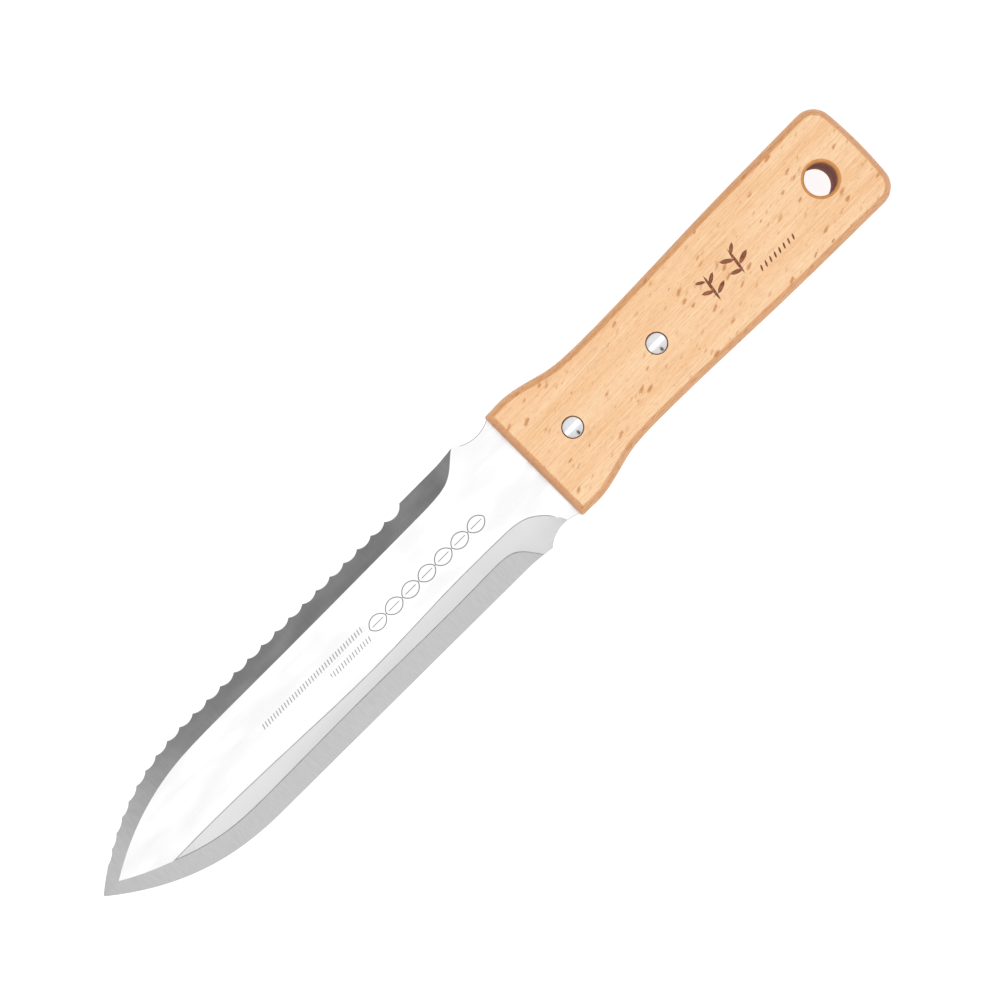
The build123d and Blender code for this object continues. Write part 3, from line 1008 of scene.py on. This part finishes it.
@dataclass
class BrandingIron:
    """The maker's mark burnt into the grip: two leaf sprigs and a row of ticks."""

    depth: float = 0.25 * MM
    from_front: float = 81.0 * MM
    leaf_sides: int = 28
    leaf_share: float = 0.30
    stem_length: float = 9.6
    stem_width: float = 0.95
    stem_turn_deg: float = 82.0
    body_share: float = 0.42
    tip_share: float = 0.08
    spring_share: float = 0.52
    tick_count: int = 8
    left_leaves: tuple[tuple[float, float, float], ...] = (
        (-2.6, 4.6, 22.0), (-1.2, 4.2, 152.0), (1.0, 4.2, 34.0), (2.6, 3.4, 148.0),
    )
    right_leaves: tuple[tuple[float, float, float], ...] = (
        (-3.2, 4.4, 158.0), (-1.4, 5.0, 20.0), (0.6, 4.8, 146.0), (2.4, 4.0, 40.0),
    )

    def leaf(self, at: Pair, length: float, width: float, turn_deg: float) -> Piece:
        """One pointed leaf, as a thin tool.

        Args:
            at: its middle, in millimetres from the mark's middle.
            length: its length in millimetres, tip to tip.
            width: its width in millimetres.
            turn_deg: the turn of its length from +X.

        Returns:
            The tool.
        """
        low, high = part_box("handle")
        centre = Vector((low.x + self.from_front + at[0] * MM, at[1] * MM, high.z))
        reach = length * MM * self.body_share
        tool = rod("leaf_tool", centre, reach, high.z - self.depth, high.z + self.depth, self.leaf_sides)
        with EditBench(tool) as bench:
            bench.pick("VERT", lambda v: True)
            narrow = width / (2 * self.body_share * length)
            bpy.ops.transform.resize(value=(1.0, narrow, 1.0), center_override=centre)
            for side in (-1, 1):
                bench.pick("VERT", lambda v: (v.co.x - centre.x) * side > reach * 0.99)
                bpy.ops.transform.translate(value=(side * length * MM * self.tip_share, 0, 0))
            bench.pick("VERT", lambda v: True)
            bpy.ops.transform.rotate(value=-math.radians(turn_deg), orient_axis="Z", center_override=centre)
        return tool

    def sprig(
        self, at: Pair, leaves: Sequence[tuple[float, float, float]]
    ) -> list[Piece]:
        """A stem with leaves that spring from it.

        Args:
            at: the sprig's middle, in millimetres from the mark's middle.
            leaves: each leaf's place along the stem, length and turn.

        Returns:
            The tools.
        """
        tools = [self.leaf(at, self.stem_length, self.stem_width, self.stem_turn_deg)]
        for along, length, turn_deg in leaves:
            turn = math.radians(turn_deg)
            middle_x = at[0] + math.cos(turn) * length * self.spring_share
            middle_y = at[1] + along + math.sin(turn) * length * self.spring_share
            tools.append(self.leaf((middle_x, middle_y), length, length * self.leaf_share, turn_deg))
        return tools

    def tools(self) -> list[Piece]:
        """All the mark's shapes, each as one tool."""
        tools = self.sprig((-5.4, 0.0), self.left_leaves) + self.sprig((5.4, 0.6), self.right_leaves)
        for step in range(self.tick_count):
            tools.append(self.leaf((9.4 + 1.9 * step, -6.3), 2.4, 0.62, 66.0))
        return tools


@dataclass
class HandleBlock:
    """The one-piece beech handle, with its rounded-over edges, kerf, bores, hang hole and burnt mark."""

    finish: Material
    burn: Material
    # The painted shade finish for the bores' rims and walls.
    bore: Material
    slices: int = 54
    front_clear: float = 3.4 * MM
    corner_clear: float = 3.0 * MM
    side_lines: tuple[float, ...] = (-0.6, -0.3, 0.0, 0.3, 0.6)
    butt_corner: float = 6.0 * MM
    butt_clear: float = 8.0 * MM
    edge_width: float = 2.5 * MM
    edge_profile: float = 0.40
    front_corner: float = 0.5 * MM
    kerf_clearance: float = 0.05 * MM
    kerf_end_gap: float = 0.8 * MM
    hole_rim: float = 1.3 * MM
    head_clearance: float = 0.24 * MM
    bore_radius: float = 2.35 * MM
    crowding: float = 1.15
    butt_bow: float = 1.3 * MM
    rim_steps: int = 6
    rim_turn_deg: float = 81.0
    iron: BrandingIron = field(default_factory=BrandingIron)

    def half_width(self, x: float) -> float:
        """The handle's half width at a place along the knife, as its CAD node measures."""
        low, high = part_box("handle")
        start = Vector((x, 2 * high.y, low.z + 0.3 * (high.z - low.z)))
        found, place, *_ = frame["nodes"]["handle"].ray_cast(start, Vector((0, -1, 0)))
        return place.y if found else high.y

    def build(self) -> Piece:
        """Models, cuts and dresses the handle.

        Returns:
            The finished handle.
        """
        low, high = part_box("handle")
        handle = block("beech_handle", low, high)
        self.shape_plan(handle, low, high)
        self.round_over(handle, low, high)
        repaint(handle, self.finish, self.burn, self.bore)
        self.cut_kerf(handle)
        self.cut_hang_hole(handle)
        for name in ("front_rivet_post", "rear_rivet_post"):
            self.cut_rivet_bores(handle, name)
        for tool in self.iron.tools():
            carve(handle, tool, 1)
        polish_shading(handle)
        stand_in(handle, Slot.WOOD, "handle")
        return handle

    def shape_plan(self, handle: Piece, low: Vector, high: Vector) -> None:
        """Slices the block along the grip and draws each slice in to the plan's width.

        Args:
            handle: the plain block.
            low: its lowest corner.
            high: its highest corner.
        """
        middle = (low + high) / 2
        last = high.x - self.butt_clear
        first = low.x + self.front_clear
        shares = [(i / self.slices) ** self.crowding for i in range(self.slices + 1)]
        stations = [first + (last - first) * share for share in shares]
        end_width = self.half_width(last)

        def butt_corner(edge: Edge) -> bool:
            """Whether an edge is one of the butt's upright corners."""
            start, end = (v.co for v in edge.verts)
            upright = abs(start.z - end.z) > high.z / 2
            return upright and start.x > last + MM and abs(start.y) > 0.9 * end_width

        with EditBench(handle) as bench:
            for x in stations:
                bench.slice(Vector((x, 0, middle.z)), Vector((1, 0, 0)))
            for share in self.side_lines:
                bench.slice(Vector((0, share * high.y, middle.z)), Vector((0, 1, 0)))
            for x in (low.x, *stations, high.x):
                width = end_width if x == high.x else self.half_width(max(x, low.x + self.corner_clear))
                bench.pick("VERT", lambda v: abs(v.co.x - x) < NEAR)
                bpy.ops.transform.resize(value=(1.0, width / high.y, 1.0), center_override=(x, 0, middle.z))
            for share in (-1.0, *self.side_lines, 1.0):
                back = self.bow(share)
                y = share * end_width
                bench.pick("VERT", lambda v: v.co.x > high.x - NEAR and abs(v.co.y - y) < NEAR)
                bpy.ops.transform.translate(value=(-back, 0, 0))
            bench.pick("EDGE", butt_corner)
            bench.soften(self.butt_corner, 10)

    def bow(self, share: float) -> float:
        """How far the butt's end falls back at a share of its half width."""
        return self.butt_bow * share ** 2

    def round_over(self, handle: Piece, low: Vector, high: Vector) -> None:
        """Rounds over both faces' rims, and then takes the sharpness off the front corners.

        Args:
            handle: the shaped block.
            low: its lowest corner.
            high: its highest corner.
        """

        def rim(edge: Edge) -> bool:
            """Whether an edge parts a flat face from a side."""
            levels = sorted(abs(face.normal.z) for face in edge.link_faces)
            return len(levels) == 2 and levels[0] < 0.5 < levels[1]

        def front(edge: Edge) -> bool:
            """Whether an edge is one of the front's sharp corners."""
            limit = low.x + 1.3 * self.edge_width
            near = all(v.co.x < limit and abs(v.co.y) > 0.8 * high.y for v in edge.verts)
            return near and len(edge.link_faces) == 2 and edge.calc_face_angle(0.0) > math.radians(40)

        with EditBench(handle) as bench:
            bench.pick("EDGE", rim)
            bench.soften(self.edge_width, 6, self.edge_profile)
            if bench.pick("EDGE", front):
                bench.soften(self.front_corner, 3)

    def cut_kerf(self, handle: Piece) -> None:
        """Saws the kerf for the tang, open at the front and both sides."""
        low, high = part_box("blade")
        front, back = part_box("handle")
        gap = self.kerf_clearance
        tool_low = Vector((front.x - 10 * MM, 2 * front.y, low.z - gap))
        tool_high = Vector((high.x + self.kerf_end_gap, 2 * back.y, high.z + gap))
        carve(handle, block("kerf_tool", tool_low, tool_high))

    def cut_hang_hole(self, handle: Piece) -> None:
        """Drills the hang hole, with its rims rounded over."""
        low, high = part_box("handle")
        mount = hang_hole()
        centre, radius = Vector(mount["pos_m"]), mount["dims"]["r_mm"] * MM
        tool = rod("hole_tool", centre, radius, low.z + self.hole_rim, high.z - self.hole_rim)
        with EditBench(tool) as bench:
            for side, end in ((1, high.z - self.hole_rim), (-1, low.z + self.hole_rim)):
                bench.pick("FACE", lambda f: lies_level(f, end))
                reach = radius
                for step in range(1, self.rim_steps + 1):
                    before, turn = self.rim_turn(step - 1), self.rim_turn(step)
                    wider = radius + self.hole_rim * (1 - math.cos(turn))
                    rise = self.hole_rim * (math.sin(turn) - math.sin(before))
                    draw_out(side * rise)
                    widen(wider / reach, centre)
                    reach = wider
                draw_out(side * self.hole_rim)
        # The hole's rims and walls take the painted shade finish in slot 2.
        carve(handle, tool, 2)

    def rim_turn(self, step: int) -> float:
        """How far the hole's rim has turned outwards after a number of its steps, in radians."""
        return math.radians(self.rim_turn_deg) * step / self.rim_steps

    def cut_rivet_bores(self, handle: Piece, post: str) -> None:
        """Drills one rivet's bore and both its counterbores."""
        low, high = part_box(post)
        bottom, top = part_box("handle")
        centre = (low + high) / 2
        head = (high.x - low.x) / 2 + self.head_clearance
        # The bore and counterbore walls take the painted shade finish, so the gaps round the rivet heads read
        # dark.
        carve(handle, rod("bore_tool", centre, self.bore_radius, bottom.z - MM, top.z + MM, 48), 2)
        carve(handle, rod("upper_tool", centre, head, top.z - HEAD_DEPTH, top.z + MM, 64), 2)
        carve(handle, rod("lower_tool", centre, head, bottom.z - MM, bottom.z + HEAD_DEPTH, 64), 2)


# --- Rivets ---


@dataclass
class CutleryRivet:
    """One two-part rivet: a solid post from the ground face's side, and a tubular socket from the back."""

    place: str
    finish: Material
    rim_height: float = 1.1 * MM
    dome_height: float = 0.38 * MM
    rim_ease: float = 0.12 * MM
    dome_rings: int = 8
    post_radius: float = 1.6 * MM
    tube_radius: float = 2.3 * MM
    tube_floor: float = 0.8 * MM
    smooth_deg: float = 35.0

    def build(self) -> list[Piece]:
        """Models the post and the socket."""
        return [self.half("post", 1), self.half("socket", -1)]

    def half(self, kind: str, side: int) -> Piece:
        """Models one half with its head up, and turns the socket over.

        Args:
            kind: post or socket.
            side: 1 for the ground face's side, -1 for the back.

        Returns:
            The finished half.
        """
        node = f"{self.place}_rivet_{kind}"
        low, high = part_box(node)
        _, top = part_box("handle")
        centre, radius = (low + high) / 2, (high.x - low.x) / 2
        seat = top.z - HEAD_DEPTH
        length = high.z - low.z - (self.rim_height + self.dome_height)
        piece = rod(f"polished_{node}", centre, radius, seat, seat + self.rim_height, 64)
        with EditBench(piece) as bench:
            self.raise_dome(bench, centre, radius, seat + self.rim_height)
            self.draw_shank(bench, centre, radius, seat, length, kind)
            bench.pick("EDGE", lambda e: self.is_rim(e, centre, radius))
            bench.soften(self.rim_ease, 3)
            if side < 0:
                bench.pick("VERT", lambda v: True)
                bpy.ops.transform.resize(value=(1, 1, -1), center_override=(centre.x, 0, top.z / 2))
            bpy.ops.mesh.select_all(action="SELECT")
            bpy.ops.mesh.normals_make_consistent(inside=False)
        piece.data.materials.append(self.finish)
        polish_shading(piece, self.smooth_deg)
        stand_in(piece, Slot.RIVET, node)
        return piece

    def is_rim(self, edge: Edge, centre: Vector, radius: float) -> bool:
        """Whether an edge runs round the head's widest circle."""
        wide = all((v.co.xy - centre.xy).length > radius * 0.999 for v in edge.verts)
        return wide and abs(edge.verts[0].co.z - edge.verts[1].co.z) < NEAR

    def raise_dome(self, bench: EditBench, centre: Vector, radius: float, rim: float) -> None:
        """Insets the head's top ring by ring and lifts each ring to the dome's curve.

        Args:
            bench: the head, in edit mode.
            centre: a point on its axis.
            radius: its radius.
            rim: the height of its rim.
        """
        bench.pick("FACE", lambda f: f.normal.z > 0.9 and abs(f.calc_center_median().z - rim) < NEAR)
        reach, risen = radius, 0.0
        for ring in range(1, self.dome_rings + 1):
            share = 1 - ring / (self.dome_rings + 0.4)
            lift = self.dome_height * (1 - share ** 2)
            draw_out(lift - risen)
            widen(radius * share / reach, (centre.x, centre.y, rim + lift))
            reach, risen = radius * share, lift

    def draw_shank(
        self,
        bench: EditBench,
        centre: Vector,
        radius: float,
        seat: float,
        length: float,
        kind: str,
    ) -> None:
        """Draws the post or the tube down from the head's underside.

        Args:
            bench: the head, in edit mode.
            centre: a point on its axis.
            radius: its radius.
            seat: the height of its underside.
            length: the shank's length.
            kind: post or socket.
        """
        shank = self.post_radius if kind == "post" else self.tube_radius
        bench.pick("FACE", lambda f: f.normal.z < -0.9 and abs(f.calc_center_median().z - seat) < NEAR)
        draw_out(0)
        widen(shank / radius, (centre.x, centre.y, seat))
        draw_out(-length)
        if kind == "socket":
            draw_out(0)
            widen(self.post_radius / shank, (centre.x, centre.y, seat - length))
            draw_out(length - self.tube_floor)


def main() -> None:
    """Builds the stage and the knife, piece by piece."""
    logging.basicConfig(level=logging.INFO, format="%(name)s: %(message)s")
    Studio().build()
    BladePlate(GroundSteel("ground_steel").make(), RidgeShadeLine("ridge_shade_line").make()).build()
    woods = (Beech("beech"), BurntMark("burnt_mark"), BoreShadeWood("bore_painted_shade"))
    HandleBlock(*(wood.make() for wood in woods)).build()
    rivet = PolishedRivet("polished_rivet").make()
    for place in ("front", "rear"):
        CutleryRivet(place, rivet).build()


if __name__ == "__main__":
    main()
